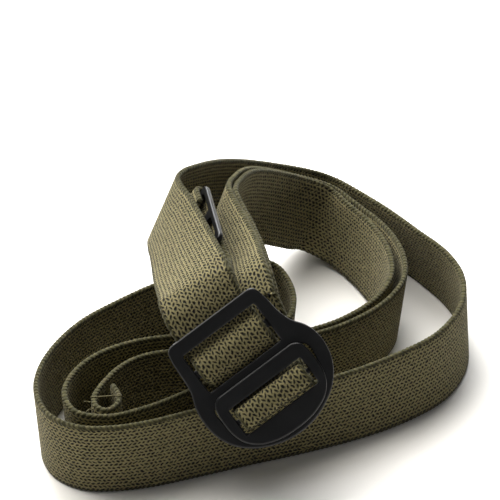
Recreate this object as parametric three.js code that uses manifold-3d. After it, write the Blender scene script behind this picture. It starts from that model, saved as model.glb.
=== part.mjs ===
import * as THREE from "three";
import Module from "manifold-3d";

// All lengths in millimetres, +Z up, the coil stands on the floor at z = 0.
const STRAP_WIDTH = 38;
const STRAP_THICKNESS = 2.6;
const SELVAGE_ROUNDING = 0.8;
const LAYER_GAP = 0.8; // clear space between two layers that lie together
const LAYER_PITCH = STRAP_THICKNESS + LAYER_GAP;
const LAYOUT = 208; // square of floor that the coil is laid out on
const BUCKLE_TILT = 60; // buckle plane above the floor, degrees
const BUCKLE_TURN = 36.87; // buckle axis turned from straight down, degrees
const PLATE_THICKNESS = 3;
const PLATE_GAP = 0.4; // clear space between the frame and the plate
const PLATE_LEVEL = PLATE_THICKNESS + PLATE_GAP;
const SLIDER_LENGTH = 52;
const SLIDER_BACK = 38; // from the frame to the slider, along the strap
const SLIDER_THICKNESS = 2.4;
const SLIDER_CLEARANCE = 0.5; // between the strap's edge and the slider's side
const SLIDER_SIDE = 2.6; // width of the slider's sides
const STEP = 0.24 * STRAP_WIDTH; // longest step along the strap

const wasm = await Module();
wasm.setup();
const { Manifold, Mesh: ManifoldMesh } = wasm;

const V = (x, y, z) => new THREE.Vector3(x, y, z);
const UP = V(0, 0, 1);

// Route tables. Columns: x, y (shares of LAYOUT), rise of the lower edge
// (share of STRAP_WIDTH), lean of the upper edge to the route's right (degrees).
// The tail starts at its cut end and turns back into a rolled hem.
const TAIL_ROUTE = [
  [-0.306, -0.839, 0, 0],
  [-0.291, -0.880, 0, 0],
  [-0.296, -0.913, 0, 0],
  [-0.317, -0.934, 0, 0],
  [-0.341, -0.918, 0, 0],
  [-0.346, -0.884, 0, 0],
  [-0.335, -0.846, 0, 0],
  [-0.320, -0.814, 0, 0],
  [-0.301, -0.780, 0, 0],
  [-0.265, -0.740, 0, 0],
  [-0.210, -0.712, 0, 0],
  [-0.100, -0.700, 0, 0],
  [0.000, -0.690, 0, 0],
];
const DOUBLE_ROUTE = [
  [0.110, -0.640, 0, 2],
  [0.200, -0.590, 0, 3],
  [0.288, -0.505, 0, 4],
  [0.335, -0.400, 0, 6],
  [0.330, -0.290, 0, 9],
  [0.288, -0.175, 0, 11],
  [0.225, -0.085, 0.035, 10],
  [0.165, -0.044, 0.125, 9],
  [0.104, -0.073, 0.32, 7],
  [0.029, -0.155, 0.70, 2],
  [-0.026, -0.248, 1.04, -6],
  [-0.057, -0.330, 1.23, -14],
  [-0.071, -0.396, 1.36, -20],
  [-0.067, -0.461, 1.43, -29],
  [-0.055, -0.537, 1.51, -37],
  [-0.040, -0.647, 1.65, -47],
];

const LEFT_ROUTE = [
  [0.050, -0.715, 0, 0],
  [-0.060, -0.800, 0, 0],
  [-0.145, -0.868, 0, 0],
  [-0.230, -0.925, 0, 0],
  [-0.316, -0.953, 0, -3],
  [-0.380, -0.935, 0, -4],
  [-0.407, -0.870, 0, -4],
  [-0.391, -0.790, 0, -3],
  [-0.343, -0.720, 0, -2],
  [-0.265, -0.668, 0, 0],
  [-0.175, -0.645, 0, 0],
  [-0.080, -0.635, 0, 0],
  [0.020, -0.620, 0, 0],
  [0.078, -0.575, 0, 4],
  [0.094, -0.500, 0, 5],
  [0.081, -0.410, 0, 5],
  [0.052, -0.350, 0, 4],
  [0.005, -0.325, 0, 2],
  [-0.060, -0.340, 0, 0],
  [-0.130, -0.378, 0, 0],
  [-0.215, -0.430, 0, 0],
  [-0.300, -0.500, 0, 0],
  [-0.385, -0.590, 0, 2],
  [-0.445, -0.700, 0, 3],
  [-0.470, -0.800, 0, 4],
  [-0.466, -0.885, 0, 4],
  [-0.434, -0.953, 0, 4],
  [-0.372, -0.994, 0, 3],
  [-0.300, -0.997, 0, 2],
  [-0.220, -0.979, 0, 0],
  [-0.130, -0.944, 0, -2],
];
const FRONT_ROUTE = [
  [0.000, -0.892, 0, -3],
  [0.110, -0.850, 0, -4],
  [0.220, -0.800, 0, -6],
  [0.330, -0.733, 0, -9],
  [0.436, -0.640, 0, -8],
  [0.493, -0.520, 0, -5],
  [0.500, -0.400, 0, -3],
  [0.472, -0.290, 0, -7],
  [0.413, -0.190, 0, -11],
  [0.342, -0.095, 0, -10],
  [0.258, -0.010, 0.015, -8],
  [0.160, 0.021, 0.115, -5],
  [0.058, -0.049, 0.44, -3],
  [-0.046, -0.175, 0.93, -1],
  [-0.106, -0.265, 1.23, -4],
  [-0.147, -0.326, 1.4, -8],
  [-0.181, -0.374, 1.52, -14],
  [-0.197, -0.418, 1.6, -21],
  [-0.194, -0.462, 1.65, -26],
  [-0.183, -0.509, 1.71, -31],
  [-0.167, -0.584, 1.79, -38],
  [-0.150, -0.675, 1.9, -47],
];

// Buckle axes: ACROSS lies along its bars, DOWN runs from the top bar to the loop,
// OUT points away from the coil.
const tilt = THREE.MathUtils.degToRad(BUCKLE_TILT);
const turn = THREE.MathUtils.degToRad(BUCKLE_TURN);
const slopeUp = V(0, Math.cos(tilt), Math.sin(tilt));
const ACROSS = V(1, 0, 0).multiplyScalar(Math.cos(turn)).addScaledVector(slopeUp, Math.sin(turn));
const DOWN = V(1, 0, 0).multiplyScalar(Math.sin(turn)).addScaledVector(slopeUp, -Math.cos(turn));
const OUT = V().crossVectors(DOWN, ACROSS).normalize();
const BUCKLE_TOP = V(-0.090 * LAYOUT, -0.883 * LAYOUT, 2.13 * STRAP_WIDTH);

const inBuckle = (along, above, shift) =>
  BUCKLE_TOP.clone().addScaledVector(DOWN, along * STRAP_WIDTH)
    .addScaledVector(OUT, above * LAYER_PITCH).addScaledVector(ACROSS, shift * STRAP_WIDTH);

// Strap in the frame. Columns: along DOWN (share of STRAP_WIDTH), above the frame mid plane
// (share of LAYER_PITCH), shift along ACROSS (share of STRAP_WIDTH).
const FRAME_PASS = [
  [0, -1, 0],
  [0.1474, -1.0294, 0],
  [0.3, -0.2353, 0],
  [0.4, 0.6471, 0],
  [0.4684, 0.7941, 0],
  [0.5368, 0.6471, 0],
  [0.6368, -0.2353, 0],
  [0.7474, -1.0294, 0],
  [0.8421, -1.0882, 0],
  [0.8895, -1.5294, 0],
  [0.8421, -2, 0],
  [0.6842, -2.0588, 0],
  [0.4211, -2.0294, 0],
  [0.1579, -2.0294, 0],
  [-0.0789, -2.0588, 0],
];
// Doubled strap at the plate, from the inner layer round the hidden bar to the outer layer.
// The same columns.
const PLATE_PASS = [
  [0.4211, -4.1176, 0.2789],
  [0.7368, -4.0882, 0.1579],
  [1, -4.0294, 0.0921],
  [1.1737, -3.7353, 0.0658],
  [1.3053, -2.4118, 0.0579],
  [1.3447, -0.8824, 0.0579],
  [1.3447, 0.5588, 0.0579],
  [1.3053, 1.5588, 0.0579],
  [1.2158, 1.9412, 0.0579],
  [1.1263, 1.5588, 0.0579],
  [1.0868, 0.5588, 0.0579],
  [1.0684, -0.8824, 0.0579],
  [1.0105, -2.1765, 0.0658],
  [0.8947, -2.9118, 0.0921],
  [0.6842, -3.0294, 0.1579],
  [0.4211, -3.0294, 0.2789],
];

const alongOf = (points, i) =>
  V().subVectors(points[Math.min(i + 1, points.length - 1)], points[Math.max(i - 1, 0)]).normalize();

function squareTo(width, along) {
  return width.clone().addScaledVector(along, -width.dot(along)).normalize();
}

// Turns a route table into stations: centre point and width direction.
function stationsOf(table) {
  const points = table.map(([x, y, rise, lean]) => {
    const l = THREE.MathUtils.degToRad(lean);
    return V(x * LAYOUT, y * LAYOUT, (rise + 0.5 * Math.cos(l)) * STRAP_WIDTH);
  });
  return points.map((point, i) => {
    const along = alongOf(points, i);
    const side = V().crossVectors(along, UP).normalize();
    const upright = squareTo(UP, along);
    const l = THREE.MathUtils.degToRad(table[i][3]);
    const width = upright.multiplyScalar(Math.cos(l)).addScaledVector(side, Math.sin(l));
    return { point, width };
  });
}

const buckleStations = (table) =>
  table.map(([along, above, shift]) => ({ point: inBuckle(along, above, shift), width: ACROSS.clone() }));

// Smooth run through the stations, cut into short steps; steps shorten where the run turns.
function resample(stations, longest, sharpest) {
  const curve = new THREE.CatmullRomCurve3(stations.map((s) => s.point), false, "centripetal");
  const turning = new THREE.CatmullRomCurve3(stations.map((s) => s.width), false, "catmullrom");
  const spans = stations.length - 1;
  const fine = [];
  const parts = 24;
  for (let k = 0; k <= spans * parts; k += 1) {
    const t = k / (spans * parts);
    fine.push({
      point: curve.getPoint(t), along: curve.getTangent(t), width: turning.getPoint(t).normalize(),
    });
  }
  const out = [fine[0]];
  let gone = 0;
  for (let k = 1; k < fine.length; k += 1) {
    gone += fine[k].point.distanceTo(fine[k - 1].point);
    const last = out[out.length - 1];
    const turned = THREE.MathUtils.radToDeg(fine[k].along.angleTo(last.along));
    if (gone >= longest || (turned > sharpest && gone > 0.08 * STEP) || k === fine.length - 1) {
      out.push(fine[k]);
      gone = 0;
    }
  }
  return out.map((s) => ({ point: s.point, along: s.along, width: squareTo(s.width, s.along) }));
}

const offset = (run, amount) =>
  run.map((s, i) => {
    const normal = V().crossVectors(s.along, s.width).normalize();
    const by = typeof amount === "function" ? amount(i / (run.length - 1)) : amount;
    return { point: s.point.clone().addScaledVector(normal, by), width: s.width.clone() };
  });

// The doubled run is one smooth route with a layer on each side of it.
const doubleEnd = buckleStations([
  [-0.09, -6.85, 0.453], [0.008, -5.47, 0.413], [0.16, -4.2, 0.353],
]);
const doubleRun = resample([...stationsOf(DOUBLE_ROUTE), ...doubleEnd], STEP, 14);
const swell = (t, middle, spread) => Math.exp(-(((t - middle) / spread) ** 2));
const opening = (t) => LAYER_PITCH *
  (0.52 + 0.45 * swell(t, 0.22, 0.12) + 0.12 * swell(t, 0.44, 0.06) + 0.3 * swell(t, 0.94, 0.05));
const innerLayer = offset(doubleRun, (t) => -opening(t));
const outerLayer = offset(doubleRun, (t) => opening(t)).reverse();

// The single run from the coil to the frame, then the return under it to the slider.
const frontEnd = buckleStations([
  [-0.4474, -3.0588, 0.0947], [-0.3737, -2.1176, 0.0684], [-0.25, -1.3235, 0.0368],
  [-0.1053, -1.0294, 0.0105],
]);
const frontRun = resample([...stationsOf(FRONT_ROUTE), ...frontEnd], STEP, 14);
const strapRun = frontRun.map((s) => ({ point: s.point, width: s.width }));

const frontLengths = [0];
for (let i = frontRun.length - 1; i > 0; i -= 1) {
  frontLengths.push(frontLengths[frontLengths.length - 1] +
    frontRun[i].point.distanceTo(frontRun[i - 1].point));
}
function besideStrap(back, depth) {
  let k = 0;
  while (k < frontLengths.length - 2 && frontLengths[k + 1] < back) k += 1;
  const f = (back - frontLengths[k]) / (frontLengths[k + 1] - frontLengths[k]);
  const a = frontRun[frontRun.length - 1 - k];
  const b = frontRun[frontRun.length - 2 - k];
  const point = a.point.clone().lerp(b.point, f);
  const along = a.along.clone().lerp(b.along, f).normalize();
  const width = squareTo(a.width.clone().lerp(b.width, f), along);
  const normal = V().crossVectors(along, width).normalize();
  return { point: point.addScaledVector(normal, -depth), along, width, normal };
}

// Slider seat: a straight line under the curved strap, held by both ends.
const seatLow = besideStrap(SLIDER_BACK, 2.3 * LAYER_PITCH);
const seatHigh = besideStrap(SLIDER_BACK + SLIDER_LENGTH, 2.6 * LAYER_PITCH);
const seat = besideStrap(SLIDER_BACK + SLIDER_LENGTH * 0.6, 0);
seat.point.copy(seatLow.point).lerp(seatHigh.point, 0.5);
seat.along = V().subVectors(seatHigh.point, seatLow.point).normalize();
seat.width = squareTo(seat.width, seat.along);
seat.below = V().crossVectors(seat.along, seat.width).normalize();

// Return layer. Columns: along the seat from its middle (share of SLIDER_LENGTH), farther
// along and below the seat (shares of LAYER_PITCH). It runs under the slider, round its last
// bar and back over it.
const RETURN_ROUTE = [
  [-0.5, 0, 0.92],
  [-0.36, 0, 0.92],
  [-0.1, 0, 0.92],
  [0.25, 0, 0.92],
  [0.46, 0, 0.94],
  [0.5, 0.5, 0.62],
  [0.5, 0.68, 0],
  [0.5, 0.5, -0.62],
  [0.46, 0, -0.94],
  [0.36, 0, -0.92],
  [0.26, 0, -0.92],
];
const returnRun = [
  besideStrap(0.16 * STRAP_WIDTH, 1.15 * LAYER_PITCH),
  besideStrap(0.32 * STRAP_WIDTH, 1.2 * LAYER_PITCH),
  besideStrap(0.5 * STRAP_WIDTH, 1.6 * LAYER_PITCH),
  besideStrap(0.75 * STRAP_WIDTH, 2.6 * LAYER_PITCH),
  ...RETURN_ROUTE.map(([along, farther, below]) => ({
    point: seat.point.clone().addScaledVector(seat.along, along * SLIDER_LENGTH + farther * LAYER_PITCH)
      .addScaledVector(seat.below, below * LAYER_PITCH),
    width: seat.width.clone(),
  })),
];

const strapStations = [
  ...stationsOf(TAIL_ROUTE),
  ...innerLayer,
  ...buckleStations(PLATE_PASS),
  ...outerLayer,
  ...stationsOf(LEFT_ROUTE),
  ...strapRun,
  ...buckleStations(FRAME_PASS),
  ...returnRun,
];

function ribbon(run, width, thickness) {
  const w = width / 2;
  const t = thickness / 2;
  const ring = [
    [w, 0], [w - SELVAGE_ROUNDING, t], [-w + SELVAGE_ROUNDING, t],
    [-w, 0], [-w + SELVAGE_ROUNDING, -t], [w - SELVAGE_ROUNDING, -t],
  ];
  const n = ring.length;
  const positions = [];
  for (const s of run) {
    const normal = V().crossVectors(s.along, s.width).normalize();
    for (const [a, b] of ring) {
      const p = s.point.clone().addScaledVector(s.width, a).addScaledVector(normal, b);
      positions.push(p.x, p.y, p.z);
    }
  }
  const index = [];
  for (let i = 0; i + 1 < run.length; i += 1) {
    for (let j = 0; j < n; j += 1) {
      const a = i * n + j;
      const b = i * n + ((j + 1) % n);
      index.push(a, b, a + n, b, b + n, a + n);
    }
  }
  for (let j = 1; j + 1 < n; j += 1) {
    index.push(0, j + 1, j);
    const e = (run.length - 1) * n;
    index.push(e, e + j, e + j + 1);
  }
  const geometry = new THREE.BufferGeometry();
  geometry.setAttribute("position", new THREE.Float32BufferAttribute(positions, 3));
  geometry.setIndex(index);
  return geometry;
}

// Closed outline from half widths. Columns: along, half width; corner points are smoothed.
function roundedShape(points, rounding) {
  const shape = new THREE.Shape();
  const n = points.length;
  for (let i = 0; i < n; i += 1) {
    const [px, py] = points[i];
    const [ax, ay] = points[(i + n - 1) % n];
    const [bx, by] = points[(i + 1) % n];
    const la = Math.hypot(ax - px, ay - py);
    const lb = Math.hypot(bx - px, by - py);
    const r = Math.min(rounding, la / 2.05, lb / 2.05);
    const sx = px + ((ax - px) * r) / la;
    const sy = py + ((ay - py) * r) / la;
    if (i === 0) shape.moveTo(sx, sy);
    else shape.lineTo(sx, sy);
    shape.quadraticCurveTo(px, py, px + ((bx - px) * r) / lb, py + ((by - py) * r) / lb);
  }
  shape.closePath();
  return shape;
}

const mirrored = (rows, unit = STRAP_WIDTH) => [
  ...rows.map(([along, halfWidth, shift = 0]) => [(shift + halfWidth) * unit, along * unit]),
  ...rows.slice().reverse()
    .map(([along, halfWidth, shift = 0]) => [(shift - halfWidth) * unit, along * unit]),
];

function slab(points, rounding, thickness, bevel, segments) {
  const shape = roundedShape(points, rounding);
  const geometry = new THREE.ExtrudeGeometry(shape, {
    depth: thickness - 2 * bevel,
    bevelEnabled: bevel > 0,
    bevelThickness: bevel,
    bevelSize: bevel,
    bevelOffset: -bevel,
    bevelSegments: 2,
    curveSegments: segments,
  });
  geometry.translate(0, 0, bevel - thickness / 2);
  return geometry;
}

function toManifold(geometry) {
  const bare = new THREE.BufferGeometry();
  bare.setAttribute("position", geometry.getAttribute("position").clone());
  if (geometry.index) bare.setIndex(geometry.index.clone());
  const flat = bare.index ? bare.toNonIndexed() : bare;
  const src = flat.getAttribute("position");
  const seen = new Map();
  const verts = [];
  const tris = [];
  for (let i = 0; i < src.count; i += 1) {
    const p = [src.getX(i), src.getY(i), src.getZ(i)];
    const key = p.map((q) => Math.round(q * 1e4)).join(" ");
    if (!seen.has(key)) {
      seen.set(key, verts.length / 3);
      verts.push(...p);
    }
    tris.push(seen.get(key));
  }
  const kept = [];
  for (let i = 0; i < tris.length; i += 3) {
    const [a, b, c] = [tris[i], tris[i + 1], tris[i + 2]];
    if (a !== b && b !== c && a !== c) kept.push(a, b, c);
  }
  return new Manifold(new ManifoldMesh({
    numProp: 3,
    vertProperties: new Float32Array(verts),
    triVerts: new Uint32Array(kept),
  }));
}

function fromManifold(solid) {
  const mesh = solid.getMesh();
  const geometry = new THREE.BufferGeometry();
  geometry.setAttribute("position", new THREE.Float32BufferAttribute(mesh.vertProperties, 3));
  geometry.setIndex([...mesh.triVerts]);
  return geometry;
}

// Box of those sizes in shares of STRAP_WIDTH across and along, and its thickness.
const barAt = (x, y, sx, sy, thickness) => {
  const g = new THREE.BoxGeometry(sx * STRAP_WIDTH, sy * STRAP_WIDTH, thickness);
  g.translate(x * STRAP_WIDTH, y * STRAP_WIDTH, 0);
  return toManifold(g);
};

// Outlines. Columns: along, half width, shift of the middle (shares of STRAP_WIDTH).
const FRAME_OUTLINE = [
  [0, 0.6474], [0.2105, 0.6895], [0.4474, 0.7053, 0.0079], [0.6053, 0.7421, 0.0237],
  [0.7632, 0.8368, 0.0526], [0.9474, 0.8789, 0.0632],
  [1.1842, 0.8632, 0.0632], [1.3947, 0.7737, 0.0632], [1.5789, 0.6, 0.0632],
  [1.7105, 0.3421, 0.0632], [1.7632, 0.1184, 0.0632],
];
const FRAME_LOOP = [
  [0.9079, 0.6579, 0.0579], [0.9868, 0.7, 0.0632], [1.1579, 0.6842, 0.0632], [1.3289, 0.6, 0.0632],
  [1.4605, 0.4474, 0.0632],
  [1.5421, 0.2368, 0.0632], [1.5684, 0.0789, 0.0632],
];
const edgeRound = 0.23 * PLATE_THICKNESS;
const cutDepth = 3 * PLATE_THICKNESS;
const barThickness = 0.53 * PLATE_THICKNESS;
const slotHalf = 0.5368; // half width of a strap slot, share of STRAP_WIDTH
const rounded = (share) => share * STRAP_WIDTH;
const frameShell = toManifold(slab(
  mirrored(FRAME_OUTLINE), rounded(0.16), PLATE_THICKNESS, edgeRound, 5));
const frameSlot = toManifold(slab(
  mirrored([[0.1816, slotHalf], [0.7368, slotHalf]]), rounded(0.03), cutDepth, 0, 4));
const frameLoop = toManifold(slab(mirrored(FRAME_LOOP), rounded(0.13), cutDepth, 0, 5));
const frameBar = barAt(0, 0.4684, 1.1053, 0.1053, barThickness);
const frameSolid = frameShell.subtract(frameSlot).subtract(frameLoop).add(frameBar);

const PLATE_OUTLINE = [
  [0.8289, 0.5658, 0.0579], [0.8947, 0.6474, 0.0579], [1.0395, 0.6789, 0.0579],
  [1.2763, 0.6789, 0.0579], [1.4605, 0.6211, 0.0605],
  [1.5921, 0.4868, 0.0632], [1.6711, 0.2895, 0.0632], [1.6974, 0.1053, 0.0632],
];
const plateShell = toManifold(slab(
  mirrored(PLATE_OUTLINE), rounded(0.13), PLATE_THICKNESS, edgeRound, 5));
const plateSlot = toManifold(slab(
  mirrored([[1.0263, slotHalf, 0.0579], [1.4053, slotHalf, 0.0579]]),
  rounded(0.03), cutDepth, 0, 4));
const plateBar = barAt(0.0579, 1.2158, 1.0921, 0.0632, barThickness);
const plateSolid = plateShell.subtract(plateSlot).add(plateBar)
  .translate([0, 0, PLATE_LEVEL]);

const sliderSlotHalf = STRAP_WIDTH / 2 + SLIDER_CLEARANCE;
const sliderHalf = sliderSlotHalf + SLIDER_SIDE;
const across = (lowEnd, highEnd, halfWidth) => [
  [halfWidth, lowEnd * SLIDER_LENGTH], [halfWidth, highEnd * SLIDER_LENGTH],
  [-halfWidth, highEnd * SLIDER_LENGTH], [-halfWidth, lowEnd * SLIDER_LENGTH],
];
const sliderShell = toManifold(slab(
  across(-0.5, 0.5, sliderHalf), rounded(0.08), SLIDER_THICKNESS, 0.2 * SLIDER_THICKNESS, 4));
const sliderCut = (lowEnd, highEnd) => toManifold(slab(
  across(lowEnd, highEnd, sliderSlotHalf), rounded(0.05), 3 * SLIDER_THICKNESS, 0, 3));
const sliderSolid = sliderShell.subtract(sliderCut(0.06, 0.4)).subtract(sliderCut(-0.4, -0.06));

const strapMaterial = new THREE.MeshStandardMaterial({
  name: "olive_webbing", color: 0x5a5535, roughness: 0.95, metalness: 0,
});
const metalMaterial = () => new THREE.MeshStandardMaterial({
  name: "black_coated_metal", color: 0x101113, roughness: 0.45, metalness: 0.3,
});

const group = new THREE.Group();
group.name = "coiled_webbing_belt";

// The strap stands on the floor and never reaches below it.
const strapRunFine = resample(strapStations, 0.75 * STEP, 16).map((s) => {
  const low = s.point.z - Math.abs(s.width.z) * (STRAP_WIDTH / 2);
  return { ...s, point: s.point.clone().setZ(s.point.z - Math.min(low, 0)) };
});
const strapMesh = new THREE.Mesh(
  ribbon(strapRunFine, STRAP_WIDTH, STRAP_THICKNESS), strapMaterial);
strapMesh.name = "webbing_strap";

const buckleMatrix = new THREE.Matrix4().makeBasis(ACROSS, DOWN, OUT.clone().negate());
buckleMatrix.setPosition(BUCKLE_TOP);
// ACROSS, DOWN and OUT are left handed in that order, so the solids are mirrored through
// their own mid plane by the sign of the third axis.
function placeBuckle(solid, name) {
  const geometry = fromManifold(solid.mirror([0, 0, 1]));
  geometry.applyMatrix4(buckleMatrix);
  const mesh = new THREE.Mesh(geometry, metalMaterial());
  mesh.name = name;
  return mesh;
}
const frameMesh = placeBuckle(frameSolid, "buckle_frame");
const plateMesh = placeBuckle(plateSolid, "buckle_plate");

const sliderGeometry = fromManifold(sliderSolid);
const sliderMatrix = new THREE.Matrix4().makeBasis(
  seat.width, seat.along, V().crossVectors(seat.width, seat.along).normalize());
sliderMatrix.setPosition(seat.point);
sliderGeometry.applyMatrix4(sliderMatrix);
const sliderMesh = new THREE.Mesh(sliderGeometry, metalMaterial());
sliderMesh.name = "strap_slider";

const meshes = [strapMesh, frameMesh, plateMesh, sliderMesh];
const bounds = new THREE.Box3();
for (const mesh of meshes) {
  mesh.geometry.computeBoundingBox();
  bounds.union(mesh.geometry.boundingBox);
}
const middle = bounds.getCenter(V());
for (const mesh of meshes) {
  mesh.geometry.translate(-middle.x, -middle.y, -bounds.min.z);
  mesh.geometry.computeVertexNormals();
  group.add(mesh);
}

export default group;
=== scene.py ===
import math
import bpy
import bmesh
from mathutils import Matrix, Vector


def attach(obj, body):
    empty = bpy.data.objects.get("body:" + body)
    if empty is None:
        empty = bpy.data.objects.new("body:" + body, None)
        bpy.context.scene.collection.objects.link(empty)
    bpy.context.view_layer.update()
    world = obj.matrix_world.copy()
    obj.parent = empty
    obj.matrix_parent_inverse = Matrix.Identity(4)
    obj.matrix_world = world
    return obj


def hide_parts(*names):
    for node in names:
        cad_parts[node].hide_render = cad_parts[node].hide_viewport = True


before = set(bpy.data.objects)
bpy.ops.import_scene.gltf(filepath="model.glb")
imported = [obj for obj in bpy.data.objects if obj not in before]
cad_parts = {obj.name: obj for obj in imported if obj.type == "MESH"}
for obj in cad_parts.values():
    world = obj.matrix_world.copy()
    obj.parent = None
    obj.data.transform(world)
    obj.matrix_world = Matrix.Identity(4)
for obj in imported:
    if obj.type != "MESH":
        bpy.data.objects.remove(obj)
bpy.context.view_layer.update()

# Sizes in millimetres, the same ones that the solids are made from.
MM = 0.001
STRAP_WIDTH = 38
STRAP_THICKNESS = 2.6
LAYER_GAP = 0.8
LAYER_PITCH = STRAP_THICKNESS + LAYER_GAP
LAYOUT = 208
BUCKLE_TILT = 60
BUCKLE_TURN = 36.87
SLIDER_LENGTH = 52
SLIDER_BACK = 38
STEP = 0.24 * STRAP_WIDTH
SHARPEST_TURN = 14    # degrees from one station to the next
SPAN_PARTS = 24       # short parts between two stations
SHORTEST_STEP = 0.08 * STEP
# Half the gap between the doubled run's layers as a share of LAYER_PITCH, and its rises: height, place
# along the run, spread.
GAP_LEAST = 0.52
GAP_RISES = ((0.45, 0.22, 0.12), (0.12, 0.44, 0.06), (0.3, 0.94, 0.05))

# Sizes of the weave, the edge yarns, the coating's rims and the stitches, in millimetres too.
ROW_PITCH = 1.8       # one row of holes to the next, across the webbing
HOLE_PITCH = 2.15     # one hole to the next, along the webbing
SELVAGE_PITCH = 2.4   # one turn of the edge yarn
SELVAGE_WIDTH = 1.9   # how far in from the edge its yarn shows
SELVAGE_FULL = 1.2    # how far in it shows in full
SELVAGE_TURN = 1.1    # where the webbing's faces start to round
SELVAGE_BITE = 0.35   # how far the edge draws in between two turns of its yarn
SELVAGE_THINNING = 0.10   # share of its thickness that the edge loses there
STRIPS_ACROSS = 8     # strips of the grid across one face
RIM_ROUNDING = 1.2    # how far the coating's rounded rims catch the light

# Rows of stitches: distance from the strap's start, and the face they show on.
HEM_STITCHES = ((44, 1), (44, -1), (49, 1), (49, -1))
STITCH_PITCH = 0.08 * STRAP_WIDTH
STITCHES_EACH_SIDE = 5
# One stitch: place along it as a share of STRAP_WIDTH, and height over the face.
STITCH_ARCH = ((-0.034, -0.05), (-0.017, 0.22), (0.017, 0.22), (0.034, -0.05))
STITCH_RADIUS = 0.32
# Threads at the hem: radius, and spots as distance from the start, place across, height over the middle.
HEM_THREADS = (
    (0.28, ((33, 17.0, -1.0), (33.3, 17.3, -2.8), (33.0, 17.6, -4.6))),
    (0.2, ((29.5, 16.0, -1.0), (29.2, 16.3, -3.2), (28.6, 16.3, -5.2))),
    (0.3, ((34, 18.9, -1.3), (34, 19.2, 1.3), (11, 19.2, 1.3), (11, 18.9, -1.3))),
)

# The camera: millimetres, and degrees above the floor. It looks at CAMERA_AIM in the layout.
CAMERA_RISE = 33
CAMERA_DISTANCE = 1835
CAMERA_AIM = (0, -2.5, 0)
CAMERA_SENSOR = 36
CAMERA_LENS = 259.2

# The room: metres for the floor, and the strength of its even light.
FLOOR_REACH = 6
ROOM_LIGHT = 0.12

# Colours as linear red, green, blue and alpha.
YARN_DARK = (0.040, 0.039, 0.013, 1)
YARN_LIGHT = (0.140, 0.126, 0.056, 1)
YARN_WARM = (0.128, 0.098, 0.048, 1)
YARN_FADED = (0.066, 0.065, 0.023, 1)
# Painted highlight on the yarns' crowns between the holes.
YARN_PAINTED_HIGHLIGHT = (0.248, 0.214, 0.105, 1)
# Painted shade in the weave's holes and low parts.
HOLE_PAINTED_SHADE = (0.0045, 0.0035, 0.0015, 1)
# Painted shade on the edge yarns.
EDGE_PAINTED_SHADE = (0.030, 0.028, 0.011, 1)
THREAD_DARK = (0.050, 0.046, 0.018, 1)
THREAD_LIGHT = (0.190, 0.165, 0.085, 1)
COATING_DARK = (0.0042, 0.0044, 0.0050, 1)
COATING_LIGHT = (0.0070, 0.0073, 0.0082, 1)
COATING_SCUFF = (0.022, 0.023, 0.026, 1)
PAPER = (0.90, 0.885, 0.855, 1)
ROOM_WHITE = (1.0, 0.985, 0.96, 1)

# Columns: x and y as shares of LAYOUT, rise of the lower edge as a share of STRAP_WIDTH, lean in degrees.
TAIL_ROUTE = [
    (-0.306, -0.839, 0, 0),
    (-0.291, -0.880, 0, 0),
    (-0.296, -0.913, 0, 0),
    (-0.317, -0.934, 0, 0),
    (-0.341, -0.918, 0, 0),
    (-0.346, -0.884, 0, 0),
    (-0.335, -0.846, 0, 0),
    (-0.320, -0.814, 0, 0),
    (-0.301, -0.780, 0, 0),
    (-0.265, -0.740, 0, 0),
    (-0.210, -0.712, 0, 0),
    (-0.100, -0.700, 0, 0),
    (0.000, -0.690, 0, 0),
]
# The same columns, for the middle of the doubled run.
DOUBLE_ROUTE = [
    (0.110, -0.640, 0, 2),
    (0.200, -0.590, 0, 3),
    (0.288, -0.505, 0, 4),
    (0.335, -0.400, 0, 6),
    (0.330, -0.290, 0, 9),
    (0.288, -0.175, 0, 11),
    (0.225, -0.085, 0.035, 10),
    (0.165, -0.044, 0.125, 9),
    (0.104, -0.073, 0.32, 7),
    (0.029, -0.155, 0.70, 2),
    (-0.026, -0.248, 1.04, -6),
    (-0.057, -0.330, 1.23, -14),
    (-0.071, -0.396, 1.36, -20),
    (-0.067, -0.461, 1.43, -29),
    (-0.055, -0.537, 1.51, -37),
    (-0.040, -0.647, 1.65, -47),
]
# The same columns, for the two turns on the left and the small turn between them.
LEFT_ROUTE = [
    (0.050, -0.715, 0, 0),
    (-0.060, -0.800, 0, 0),
    (-0.145, -0.868, 0, 0),
    (-0.230, -0.925, 0, 0),
    (-0.316, -0.953, 0, -3),
    (-0.380, -0.935, 0, -4),
    (-0.407, -0.870, 0, -4),
    (-0.391, -0.790, 0, -3),
    (-0.343, -0.720, 0, -2),
    (-0.265, -0.668, 0, 0),
    (-0.175, -0.645, 0, 0),
    (-0.080, -0.635, 0, 0),
    (0.020, -0.620, 0, 0),
    (0.078, -0.575, 0, 4),
    (0.094, -0.500, 0, 5),
    (0.081, -0.410, 0, 5),
    (0.052, -0.350, 0, 4),
    (0.005, -0.325, 0, 2),
    (-0.060, -0.340, 0, 0),
    (-0.130, -0.378, 0, 0),
    (-0.215, -0.430, 0, 0),
    (-0.300, -0.500, 0, 0),
    (-0.385, -0.590, 0, 2),
    (-0.445, -0.700, 0, 3),
    (-0.470, -0.800, 0, 4),
    (-0.466, -0.885, 0, 4),
    (-0.434, -0.953, 0, 4),
    (-0.372, -0.994, 0, 3),
    (-0.300, -0.997, 0, 2),
    (-0.220, -0.979, 0, 0),
    (-0.130, -0.944, 0, -2),
]
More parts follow.
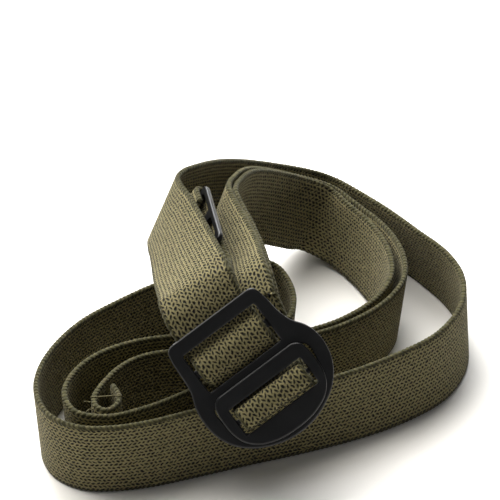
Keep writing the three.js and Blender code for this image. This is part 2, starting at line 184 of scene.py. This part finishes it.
# The same columns, from the front strand round the outside to the frame.
FRONT_ROUTE = [
    (0.000, -0.892, 0, -3),
    (0.110, -0.850, 0, -4),
    (0.220, -0.800, 0, -6),
    (0.330, -0.733, 0, -9),
    (0.436, -0.640, 0, -8),
    (0.493, -0.520, 0, -5),
    (0.500, -0.400, 0, -3),
    (0.472, -0.290, 0, -7),
    (0.413, -0.190, 0, -11),
    (0.342, -0.095, 0, -10),
    (0.258, -0.010, 0.015, -8),
    (0.160, 0.021, 0.115, -5),
    (0.058, -0.049, 0.44, -3),
    (-0.046, -0.175, 0.93, -1),
    (-0.106, -0.265, 1.23, -4),
    (-0.147, -0.326, 1.4, -8),
    (-0.181, -0.374, 1.52, -14),
    (-0.197, -0.418, 1.6, -21),
    (-0.194, -0.462, 1.65, -26),
    (-0.183, -0.509, 1.71, -31),
    (-0.167, -0.584, 1.79, -38),
    (-0.150, -0.675, 1.9, -47),
]
# Columns: down the buckle as a share of STRAP_WIDTH, above its mid plane as a share of LAYER_PITCH, and
# the shift across it as a share of STRAP_WIDTH.
FRAME_PASS = [
    (0, -1, 0),
    (0.1474, -1.0294, 0),
    (0.3, -0.2353, 0),
    (0.4, 0.6471, 0),
    (0.4684, 0.7941, 0),
    (0.5368, 0.6471, 0),
    (0.6368, -0.2353, 0),
    (0.7474, -1.0294, 0),
    (0.8421, -1.0882, 0),
    (0.8895, -1.5294, 0),
    (0.8421, -2, 0),
    (0.6842, -2.0588, 0),
    (0.4211, -2.0294, 0),
    (0.1579, -2.0294, 0),
    (-0.0789, -2.0588, 0),
]
# The same columns, for the fold round the plate's hidden bar.
PLATE_PASS = [
    (0.4211, -4.1176, 0.2789),
    (0.7368, -4.0882, 0.1579),
    (1, -4.0294, 0.0921),
    (1.1737, -3.7353, 0.0658),
    (1.3053, -2.4118, 0.0579),
    (1.3447, -0.8824, 0.0579),
    (1.3447, 0.5588, 0.0579),
    (1.3053, 1.5588, 0.0579),
    (1.2158, 1.9412, 0.0579),
    (1.1263, 1.5588, 0.0579),
    (1.0868, 0.5588, 0.0579),
    (1.0684, -0.8824, 0.0579),
    (1.0105, -2.1765, 0.0658),
    (0.8947, -2.9118, 0.0921),
    (0.6842, -3.0294, 0.1579),
    (0.4211, -3.0294, 0.2789),
]
# The same columns, for the doubled run's end and the front run's end over the buckle.
DOUBLE_END = [
    (-0.09, -6.85, 0.453),
    (0.008, -5.47, 0.413),
    (0.16, -4.2, 0.353),
]
FRONT_END = [
    (-0.4474, -3.0588, 0.0947),
    (-0.3737, -2.1176, 0.0684),
    (-0.25, -1.3235, 0.0368),
    (-0.1053, -1.0294, 0.0105),
]
# The return under the front run. Columns: back from its end as a share of STRAP_WIDTH, depth under it as a
# share of LAYER_PITCH.
UNDER_FRONT = [
    (0.16, 1.15),
    (0.32, 1.2),
    (0.5, 1.6),
    (0.75, 2.6),
]
# Depth of the slider's seat under the front run at its two ends, as shares of LAYER_PITCH.
SEAT_DEPTHS = (2.3, 2.6)
# Columns: along the slider's seat as a share of SLIDER_LENGTH, farther along it and below it as shares
# of LAYER_PITCH.
RETURN_ROUTE = [
    (-0.5, 0, 0.92),
    (-0.36, 0, 0.92),
    (-0.1, 0, 0.92),
    (0.25, 0, 0.92),
    (0.46, 0, 0.94),
    (0.5, 0.5, 0.62),
    (0.5, 0.68, 0),
    (0.5, 0.5, -0.62),
    (0.46, 0, -0.94),
    (0.36, 0, -0.92),
    (0.26, 0, -0.92),
]


def V(x, y, z):
    return Vector((x, y, z))


def unit(v):
    return v.normalized()


UP = V(0, 0, 1)
tilt, turn = math.radians(BUCKLE_TILT), math.radians(BUCKLE_TURN)
slope_up = V(0, math.cos(tilt), math.sin(tilt))
ACROSS = V(math.cos(turn), 0, 0) + slope_up * math.sin(turn)
DOWN = V(math.sin(turn), 0, 0) - slope_up * math.cos(turn)
OUT = unit(DOWN.cross(ACROSS))
BUCKLE_TOP = V(-0.090 * LAYOUT, -0.883 * LAYOUT, 2.13 * STRAP_WIDTH)


def in_buckle(along, above, shift):
    """A place on the buckle, from shares of the named sizes."""
    return (BUCKLE_TOP + DOWN * (along * STRAP_WIDTH) + OUT * (above * LAYER_PITCH)
            + ACROSS * (shift * STRAP_WIDTH))


def square_to(width, along):
    return unit(width - along * width.dot(along))


# A station is a place on the strap's middle line and the direction of its width.
def stations_of(table):
    places = []
    for x, y, rise, lean in table:
        half_height = 0.5 * math.cos(math.radians(lean))
        places.append(V(x * LAYOUT, y * LAYOUT, (rise + half_height) * STRAP_WIDTH))
    stations = []
    for i, place in enumerate(places):
        along = unit(places[min(i + 1, len(places) - 1)] - places[max(i - 1, 0)])
        side = unit(along.cross(UP))
        lean = math.radians(table[i][3])
        stations.append((place, square_to(UP, along) * math.cos(lean) + side * math.sin(lean)))
    return stations


def buckle_stations(table):
    return [(in_buckle(*row), ACROSS.copy()) for row in table]


def neighbours(values, i):
    last = len(values) - 1
    before = values[i - 1] if i > 0 else values[0] * 2 - values[1]
    after = values[i + 2] if i + 2 <= last else values[last] * 2 - values[last - 1]
    return before, values[i], values[i + 1], after


def cubic(a, b, c, d, f):
    return a + (b + (c + d * f) * f) * f


def place_at(places, t):
    """Centripetal curve through the places."""
    p = t * (len(places) - 1)
    i = min(int(p), len(places) - 2)
    p0, p1, p2, p3 = neighbours(places, i)
    d0, d1, d2 = ((q - r).length_squared ** 0.25 for q, r in ((p0, p1), (p1, p2), (p2, p3)))
    d1 = d1 if d1 > 1e-4 else 1.0
    d0 = d0 if d0 > 1e-4 else d1
    d2 = d2 if d2 > 1e-4 else d1
    m1 = ((p1 - p0) / d0 - (p2 - p0) / (d0 + d1) + (p2 - p1) / d1) * d1
    m2 = ((p2 - p1) / d1 - (p3 - p1) / (d1 + d2) + (p3 - p2) / d2) * d1
    return cubic(p1, m1, p1 * -3 + p2 * 3 - m1 * 2 - m2, p1 * 2 - p2 * 2 + m1 + m2, p - i)


def width_at(widths, t):
    """Uniform curve through the width directions."""
    p = t * (len(widths) - 1)
    i = min(int(p), len(widths) - 2)
    w0, w1, w2, w3 = neighbours(widths, i)
    m1, m2 = (w2 - w0) * 0.5, (w3 - w1) * 0.5
    return unit(cubic(w1, m1, w1 * -3 + w2 * 3 - m1 * 2 - m2, w1 * 2 - w2 * 2 + m1 + m2, p - i))


def fine_run(stations, parts):
    places, widths = [s[0] for s in stations], [s[1] for s in stations]
    steps = (len(stations) - 1) * parts
    run = []
    for k in range(steps + 1):
        t = k / steps
        ahead, behind = min(t + 1e-4, 1.0), max(t - 1e-4, 0.0)
        along = unit(place_at(places, ahead) - place_at(places, behind))
        run.append((place_at(places, t), along, width_at(widths, t)))
    return run


def resample(stations, longest, sharpest):
    """Steps of at most the longest along the run, shorter where it turns by more than the sharpest."""
    fine = fine_run(stations, SPAN_PARTS)
    kept, gone = [fine[0]], 0.0
    for k in range(1, len(fine)):
        gone += (fine[k][0] - fine[k - 1][0]).length
        turned = math.degrees(fine[k][1].angle(kept[-1][1], 0))
        if gone >= longest or (turned > sharpest and gone > SHORTEST_STEP) or k == len(fine) - 1:
            kept.append(fine[k])
            gone = 0.0
    return [(p, along, square_to(w, along)) for p, along, w in kept]


def offset(run, amount):
    """The run moved off its own face, by an amount that varies along it."""
    moved = []
    for i, (place, along, width) in enumerate(run):
        moved.append((place + unit(along.cross(width)) * amount(i / (len(run) - 1)), width))
    return moved


def swell(t, middle, spread):
    return math.exp(-((t - middle) / spread) ** 2)


def gap(t):
    """Half the distance between the doubled run's two layers."""
    share = GAP_LEAST
    for rise, middle, spread in GAP_RISES:
        share += rise * swell(t, middle, spread)
    return LAYER_PITCH * share


double_run = resample(stations_of(DOUBLE_ROUTE) + buckle_stations(DOUBLE_END), STEP, SHARPEST_TURN)
inner_layer = offset(double_run, lambda t: -gap(t))
outer_layer = offset(double_run, gap)[::-1]
front_run = resample(stations_of(FRONT_ROUTE) + buckle_stations(FRONT_END), STEP, SHARPEST_TURN)
front_lengths = [0.0]
for i in range(len(front_run) - 1, 0, -1):
    front_lengths.append(front_lengths[-1] + (front_run[i][0] - front_run[i - 1][0]).length)


def beside_strap(back, depth):
    """The place and width direction under the front run, back from its end and depth below it."""
    k = 0
    while k < len(front_lengths) - 2 and front_lengths[k + 1] < back:
        k += 1
    f = (back - front_lengths[k]) / (front_lengths[k + 1] - front_lengths[k])
    a, b = front_run[len(front_run) - 1 - k], front_run[len(front_run) - 2 - k]
    along = unit(a[1].lerp(b[1], f))
    width = square_to(a[2].lerp(b[2], f), along)
    return a[0].lerp(b[0], f) - unit(along.cross(width)) * depth, width


seat_low = beside_strap(SLIDER_BACK, SEAT_DEPTHS[0] * LAYER_PITCH)[0]
seat_high = beside_strap(SLIDER_BACK + SLIDER_LENGTH, SEAT_DEPTHS[1] * LAYER_PITCH)[0]
seat_place = seat_low.lerp(seat_high, 0.5)
seat_along = unit(seat_high - seat_low)
seat_width = square_to(beside_strap(SLIDER_BACK + SLIDER_LENGTH * 0.6, 0)[1], seat_along)
seat_below = unit(seat_along.cross(seat_width))
return_run = [beside_strap(back * STRAP_WIDTH, depth * LAYER_PITCH) for back, depth in UNDER_FRONT]
return_run += [(seat_place + seat_along * (along * SLIDER_LENGTH + farther * LAYER_PITCH)
                + seat_below * (below * LAYER_PITCH), seat_width.copy())
               for along, farther, below in RETURN_ROUTE]

strap_stations = (stations_of(TAIL_ROUTE) + inner_layer + buckle_stations(PLATE_PASS) + outer_layer
                  + stations_of(LEFT_ROUTE) + [(p, w) for p, a, w in front_run]
                  + buckle_stations(FRAME_PASS) + return_run)


def even_run(stations, step):
    """(place, along, width, distance from the start) at even steps along the strap, in millimetres."""
    fine = fine_run(stations, SPAN_PARTS)
    marks = [0.0]
    for k in range(1, len(fine)):
        marks.append(marks[-1] + (fine[k][0] - fine[k - 1][0]).length)
    count = max(2, round(marks[-1] / step))
    run, k = [], 0
    for i in range(count + 1):
        at = marks[-1] * i / count
        while k < len(marks) - 2 and marks[k + 1] < at:
            k += 1
        f = (at - marks[k]) / max(marks[k + 1] - marks[k], 1e-9)
        (p, a, w), (q, b, x) = fine[k], fine[k + 1]
        along = unit(a.lerp(b, f))
        width = square_to(w.lerp(x, f), along)
        place = p.lerp(q, f)
        place.z -= min(place.z - abs(width.z) * STRAP_WIDTH / 2, 0)
        run.append((place, along, width, at))
    return run


strap_run = even_run(strap_stations, SELVAGE_PITCH / 4)
strap_length = strap_run[-1][3]

# The middle of the layout's box. The finished row has its origin there.
MIDDLE = V(3.06, -104.97, 0)


def to_row(place):
    """From the layout in millimetres to the row's frame in metres."""
    return (place - MIDDLE) * MM


class Value:
    """A shader socket that can be added, multiplied and so on as a number."""

    def __init__(self, tree, socket):
        self.tree, self.socket = tree, socket

    def maths(self, operation, *others):
        node = self.tree.nodes.new("ShaderNodeMath")
        node.operation = operation
        for socket, value in zip(node.inputs, others):
            feed(self.tree, socket, value)
        return Value(self.tree, node.outputs[0])

    def __add__(self, other):
        return self.maths("ADD", self, other)

    def __radd__(self, other):
        return self.maths("ADD", other, self)

    def __sub__(self, other):
        return self.maths("SUBTRACT", self, other)

    def __rsub__(self, other):
        return self.maths("SUBTRACT", other, self)

    def __mul__(self, other):
        return self.maths("MULTIPLY", self, other)

    def __rmul__(self, other):
        return self.maths("MULTIPLY", other, self)

    def __truediv__(self, other):
        return self.maths("DIVIDE", self, other)

    def __mod__(self, other):
        return self.maths("FLOORED_MODULO", self, other)

    def floor(self):
        return self.maths("FLOOR", self)

    def cos(self):
        return self.maths("COSINE", self)

    def abs(self):
        return self.maths("ABSOLUTE", self)

    def above(self, low, high):
        """0 below low, 1 above high, smooth between."""
        node = self.tree.nodes.new("ShaderNodeMapRange")
        node.interpolation_type = "SMOOTHSTEP"
        for name, value in (("Value", self), ("From Min", low), ("From Max", high)):
            feed(self.tree, node.inputs[name], value)
        return Value(self.tree, node.outputs[0])

    def clamped(self):
        return self.maths("MAXIMUM", self.maths("MINIMUM", self, 1.0), 0.0)


def feed(tree, socket, value):
    """Link a shader value to the socket, or set a plain one on it."""
    if isinstance(value, Value):
        tree.links.new(value.socket, socket)
    else:
        socket.default_value = value


class Finish:
    """A material with one Principled shader."""

    def __init__(self, name):
        self.material = bpy.data.materials.new(name)
        self.material.use_nodes = True
        self.tree = self.material.node_tree
        self.shader = self.tree.nodes["Principled BSDF"]

    def node(self, kind, settings=None, sockets=None, output=0):
        node = self.tree.nodes.new(kind)
        for name, value in (settings or {}).items():
            setattr(node, name, value)
        for name, value in (sockets or {}).items():
            feed(self.tree, node.inputs[name], value)
        return Value(self.tree, node.outputs[output])

    def noise(self, vector, scale, detail=2.0, roughness=0.5):
        return self.node("ShaderNodeTexNoise", None,
                         {"Vector": vector, "Scale": scale, "Detail": detail, "Roughness": roughness})

    def blend(self, share, a, b):
        return self.node("ShaderNodeMix", {"data_type": "RGBA"}, {0: share, 6: a, 7: b}, 2)

    def place(self):
        return self.node("ShaderNodeTexCoord", None, None, 3)

    def bump(self, height, distance, strength=1.0, normal=None):
        sockets = {"Height": height, "Distance": distance, "Strength": strength}
        if normal is not None:
            sockets["Normal"] = normal
        return self.node("ShaderNodeBump", None, sockets)

    def set(self, **sockets):
        for name, value in sockets.items():
            feed(self.tree, self.shader.inputs[name.replace("_", " ")], value)
        return self


def woven_olive(name):
    """Heavy olive webbing: yarns in rows with small slanted holes between them; painted shade darkens the
    holes and the edges, and a painted highlight lightens the yarns' crowns.
    """
    f = Finish(name)
    spots = f.node("ShaderNodeUVMap", {"uv_map": "weave"})
    split = f.node("ShaderNodeSeparateXYZ", None, {"Vector": spots})
    v = Value(f.tree, split.socket.node.outputs[1])
    sway = f.noise(spots, 500.0, 2.0, 0.6) - 0.5
    drift = f.noise(spots, 400.0, 2.0) - 0.5
    u = split + drift * 0.0019
    row = (v + sway * 0.0015) / (ROW_PITCH * MM)
    odd = row.floor() % 2.0
    y = row - row.floor() - 0.5
    column = u / (HOLE_PITCH * MM) + odd * 0.5
    x = column - column.floor() - 0.5
    slanted = y - x * (odd * -0.9 + 0.45)
    apart = x * x * 1.7 + slanted * slanted * 2.7
    uneven = f.noise(spots, 740.0, 3.0, 0.7)
    apart = apart + uneven * 0.5 - 0.25
    hole = 1.0 - apart.above(0.01, 0.37)
    lit = apart.above(0.22, 0.55)
    fuzz = f.noise(spots, 2100.0, 3.0, 0.8)
    stretched = f.node("ShaderNodeCombineXYZ", None, {"X": u * 0.5, "Y": v})
    strand = f.noise(stretched, 820.0, 2.0, 0.6)
    face = (1.0 - hole + (strand - 0.5) * 0.8).clamped()
    edge_turn = ((u / (SELVAGE_PITCH * MM) + v / (STRAP_THICKNESS * MM)) * math.pi).cos().abs()
    edge = v.abs().above((STRAP_WIDTH / 2 - SELVAGE_WIDTH) * MM, (STRAP_WIDTH / 2 - SELVAGE_FULL) * MM)
    height = face * (1.0 - edge) + (edge_turn * 0.45 + 0.3) * edge
    tone = f.noise(stretched, 640.0, 1.0)
    warm = f.noise(spots, 170.0, 2.0)
    patch = f.noise(spots, 30.0, 3.0)
    yarn = f.blend(tone.above(0.3, 0.7), YARN_DARK, YARN_LIGHT)
    yarn = f.blend(warm.above(0.5, 0.68) * 0.5, yarn, YARN_WARM)
    yarn = f.blend(patch.above(0.35, 0.7) * 0.3, yarn, YARN_FADED)
    # Painted highlight: the yarns' crowns, away from the holes, are coloured lighter.
    yarn = f.blend(lit * (1.0 - edge) * 0.75, yarn, YARN_PAINTED_HIGHLIGHT)
    # Painted shade: the low parts of the weave, in and round its holes, are coloured nearly black.
    depth = ((height + (fuzz - 0.5) * 0.35) * 1.5 - 0.12).clamped()
    colour = f.blend(depth, HOLE_PAINTED_SHADE, yarn)
    # Painted shade: the edge yarns are coloured darker to tone down the light they catch.
    colour = f.blend(edge * 0.4, colour, EDGE_PAINTED_SHADE)
    f.set(Base_Color=colour, Roughness=0.93, Normal=f.bump(height + fuzz * 0.3, 0.0009, 1.0))
    f.set(Specular_IOR_Level=0.2, Sheen_Weight=0.06, Sheen_Roughness=0.5)
    return f.material


def sewing_thread(name):
    """Twisted olive thread."""
    f = Finish(name)
    fibre = f.noise(f.place(), 1500.0, 3.0, 0.7)
    colour = f.blend(fibre.above(0.3, 0.7), THREAD_DARK, THREAD_LIGHT)
    f.set(Base_Color=colour, Roughness=0.85, Normal=f.bump(fibre, 0.0001, 0.6))
    f.set(Specular_IOR_Level=0.25)
    return f.material


def black_coating(name):
    """Satin black coating on cast metal, with a fine orange-peel surface."""
    f = Finish(name)
    place = f.place()
    cloud = f.noise(place, 60.0, 3.0)
    peel = f.noise(place, 900.0, 2.0)
    scuff = f.noise(place, 240.0, 4.0, 0.7).above(0.62, 0.8)
    colour = f.blend(cloud.above(0.3, 0.7), COATING_DARK, COATING_LIGHT)
    colour = f.blend(scuff * 0.4, colour, COATING_SCUFF)
    rough = cloud * 0.12 + 0.26 + scuff * 0.08
    rim = f.node("ShaderNodeBevel", {"samples": 8}, {"Radius": RIM_ROUNDING * MM})
    f.set(Base_Color=colour, Roughness=rough, Normal=f.bump(peel, 0.00006, 0.5, rim))
    f.set(Specular_IOR_Level=0.34)
    return f.material


def section(across, inset, swell):
    """The webbing's cross section as a closed ring: two faces and two rounded edges."""
    w, t, r = STRAP_WIDTH / 2, STRAP_THICKNESS / 2, SELVAGE_TURN
    ring = []
    for side in (1, -1):
        for k in range(across + 1):
            a = (w - r) * (1 - 2 * k / across) * side
            ring.append((a, t * side, a))
        for k in (1, 2, 3):
            angle = math.pi * k / 4
            reach = r * math.sin(angle) - inset * math.sin(angle)
            a = -side * (w - r + reach)
            ring.append((a, t * math.cos(angle) * side * swell, -side * (w - r + r * math.sin(angle))))
    return ring


def strap_piece(name, run, across, material):
    """A grid wrapped round the strap's route, closed along one edge and at both ends."""
    ring_size = len(section(across, 0, 1))
    bm = bmesh.new()
    bmesh.ops.create_grid(bm, x_segments=len(run) - 1, y_segments=ring_size, size=1)
    uv = bm.loops.layers.uv.new("weave")
    rings = []
    for *_, at in run:
        beat = 0.5 - 0.5 * math.cos(2 * math.pi * at / SELVAGE_PITCH)
        rings.append(section(across, SELVAGE_BITE * beat, 1.0 - SELVAGE_THINNING * beat))
    spot = {}
    for vert in bm.verts:
        i = round((vert.co.x + 1) / 2 * (len(run) - 1))
        j = round((vert.co.y + 1) / 2 * ring_size)
        spot[vert] = (i, j)
    for face in bm.faces:
        for loop in face.loops:
            i, j = spot[loop.vert]
            v = rings[i][j % ring_size][2]
            loop[uv].uv = (run[i][3] * MM, v * MM)
    for vert, (i, j) in spot.items():
        place, along, width, _ = run[i]
        a, b, _ = rings[i][j % ring_size]
        vert.co = to_row(place + width * a + unit(along.cross(width)) * b)
    seam = [vert for vert, (_, j) in spot.items() if j in (0, ring_size)]
    bmesh.ops.remove_doubles(bm, verts=seam, dist=1e-6)
    bmesh.ops.holes_fill(bm, edges=[e for e in bm.edges if e.is_boundary], sides=0)
    bmesh.ops.recalc_face_normals(bm, faces=bm.faces[:])
    return piece(name, bm, material)


def piece(name, bm, material):
    """A finished piece from a bmesh, fixed to the root body."""
    mesh = bpy.data.meshes.new(name)
    bm.to_mesh(mesh)
    bm.free()
    for polygon in mesh.polygons:
        polygon.use_smooth = True
    mesh.materials.append(material)
    obj = bpy.data.objects.new(name, mesh)
    bpy.context.scene.collection.objects.link(obj)
    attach(obj, "root")
    return obj


def on_strap(at, across, lift):
    """A spot on the webbing: distance from its start, place across it, height over its middle."""
    last = len(strap_run) - 1
    place, along, width, _ = strap_run[min(round(at / strap_length * last), last)]
    return place + width * across + unit(along.cross(width)) * lift


def thread(bm, spots, radius):
    """A thread along the spots, as short round rods that overlap a little."""
    for a, b in zip(spots, spots[1:]):
        a, b = to_row(a), to_row(b)
        stand = Matrix.Translation((a + b) / 2) @ (b - a).to_track_quat("Z", "Y").to_matrix().to_4x4()
        bmesh.ops.create_cone(bm, cap_ends=True, segments=8, radius1=radius * MM, radius2=radius * MM,
                              depth=(b - a).length + radius * MM, matrix=stand)


def stitches(bm, at, side):
    """A row of stitches across the webbing on one of its faces."""
    for k in range(-STITCHES_EACH_SIDE, STITCHES_EACH_SIDE + 1):
        spots = [on_strap(at, k * STITCH_PITCH + d * STRAP_WIDTH, side * (STRAP_THICKNESS / 2 + lift))
                 for d, lift in STITCH_ARCH]
        thread(bm, spots, STITCH_RADIUS)


# The camera stands where the photograph was taken from.
camera = bpy.data.cameras.new("photo_camera")
camera.sensor_width = CAMERA_SENSOR
camera.lens = CAMERA_LENS
camera.clip_end = 30
eye = bpy.data.objects.new("photo_camera", camera)
bpy.context.scene.collection.objects.link(eye)
elevation = math.radians(CAMERA_RISE)
sight = V(0, math.cos(elevation), -math.sin(elevation))
eye.location = to_row(V(*CAMERA_AIM) - sight * CAMERA_DISTANCE)
eye.rotation_euler = sight.to_track_quat("-Z", "Y").to_euler()
bpy.context.scene.camera = eye

webbing = woven_olive("olive_webbing")
sewing = sewing_thread("sewing_thread")
coating = black_coating("satin_black_coating")

strap = strap_piece("woven_strap", strap_run, STRIPS_ACROSS, webbing)
bm = bmesh.new()
for at, side in HEM_STITCHES:
    stitches(bm, at, side)
for radius, spots in HEM_THREADS:
    thread(bm, [on_strap(*spot) for spot in spots], radius)
hem = piece("hem_stitches", bm, sewing)
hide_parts("webbing_strap")
strap_length * MM
for name in ("buckle_frame", "buckle_plate", "strap_slider"):
    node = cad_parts[name]
    node.data.materials.clear()
    node.data.materials.append(coating)

# Floor and soft light.
bm = bmesh.new()
bmesh.ops.create_grid(bm, x_segments=1, y_segments=1, size=FLOOR_REACH)
mesh = bpy.data.meshes.new("floor")
bm.to_mesh(mesh)
bm.free()
floor = bpy.data.objects.new("floor", mesh)
bpy.context.scene.collection.objects.link(floor)
paper = Finish("pale_paper").set(Base_Color=PAPER, Roughness=0.7, Specular_IOR_Level=0.2)
mesh.materials.append(paper.material)

world = bpy.data.worlds.new("soft_room")
world.use_nodes = True
world.node_tree.nodes["Background"].inputs["Color"].default_value = ROOM_WHITE
world.node_tree.nodes["Background"].inputs["Strength"].default_value = ROOM_LIGHT
bpy.context.scene.world = world
bpy.context.scene.view_settings.view_transform = "Standard"


def soft_light(name, place, target, size, watts, colour):
    data = bpy.data.lights.new(name, "AREA")
    data.shape = "SQUARE"
    data.size, data.energy, data.color = size, watts, colour
    obj = bpy.data.objects.new(name, data)
    bpy.context.scene.collection.objects.link(obj)
    obj.location = place
    obj.rotation_euler = (Vector(target) - Vector(place)).to_track_quat("-Z", "Y").to_euler()


soft_light("key_light", (-0.56, 0.62, 1.15), (0, 0, 0.03), 1.5, 53, (1, 0.975, 0.93))
soft_light("back_light", (-0.05, 1.35, 1.15), (0, 0.15, 0.03), 1.3, 40, (0.97, 0.985, 1))
soft_light("fill_light", (0.5, -1.6, 1.2), (0, 0, 0.03), 1.2, 0.8, (0.95, 0.97, 1))
